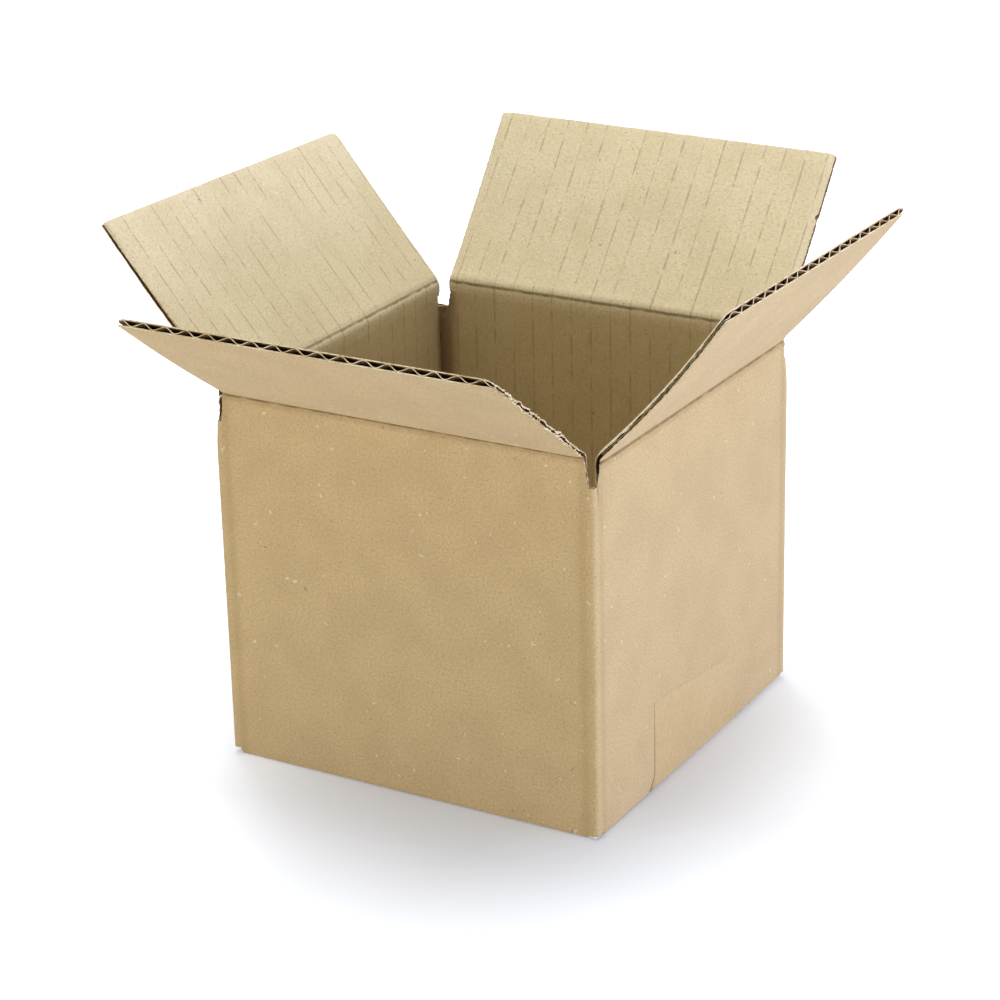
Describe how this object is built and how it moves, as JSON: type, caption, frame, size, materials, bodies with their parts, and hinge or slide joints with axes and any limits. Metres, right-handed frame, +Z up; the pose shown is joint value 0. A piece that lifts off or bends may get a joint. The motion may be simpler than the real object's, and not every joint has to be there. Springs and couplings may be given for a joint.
{
  "type": "open cardboard box",
  "caption": "Slotted corrugated shipping box standing open, with hinged top flaps splayed outwards and its bottom flaps taped shut.",
  "frame": {"origin": "centre of the box's footprint, on the ground under the tape", "axes": "+X towards the right wall, along the front wall; -Y out of the front wall; +Z up"},
  "size_m": [0.186, 0.1973, 0.1496],
  "materials": {
    "kraft_board": "matt brown kraft board",
    "tape": "thin clear tape with a soft sheen"
  },
  "bodies": {
    "carton": {"box_body": "kraft_board", "bottom_tape": "tape"},
    "front_flap": {"front_flap": "kraft_board"},
    "right_flap": {"right_flap": "kraft_board"},
    "back_flap": {"back_flap": "kraft_board"},
    "left_flap": {"left_flap": "kraft_board"}
  },
  "joints": [
    {"name": "front_crease", "type": "hinge", "parent": "carton", "child": "front_flap", "pos_m": [0, -0.058, 0.1073], "axis": [-1, 0, 0], "range_deg": [-121, 144]},
    {"name": "right_crease", "type": "hinge", "parent": "carton", "child": "right_flap", "pos_m": [0.058, 0, 0.105], "axis": [0, -1, 0], "range_deg": [-135, 130]},
    {"name": "back_crease", "type": "hinge", "parent": "carton", "child": "back_flap", "pos_m": [0, 0.058, 0.1073], "axis": [1, 0, 0], "range_deg": [-133, 132]},
    {"name": "left_crease", "type": "hinge", "parent": "carton", "child": "left_flap", "pos_m": [-0.058, 0, 0.105], "axis": [0, 1, 0], "range_deg": [-136, 129]}
  ]
}
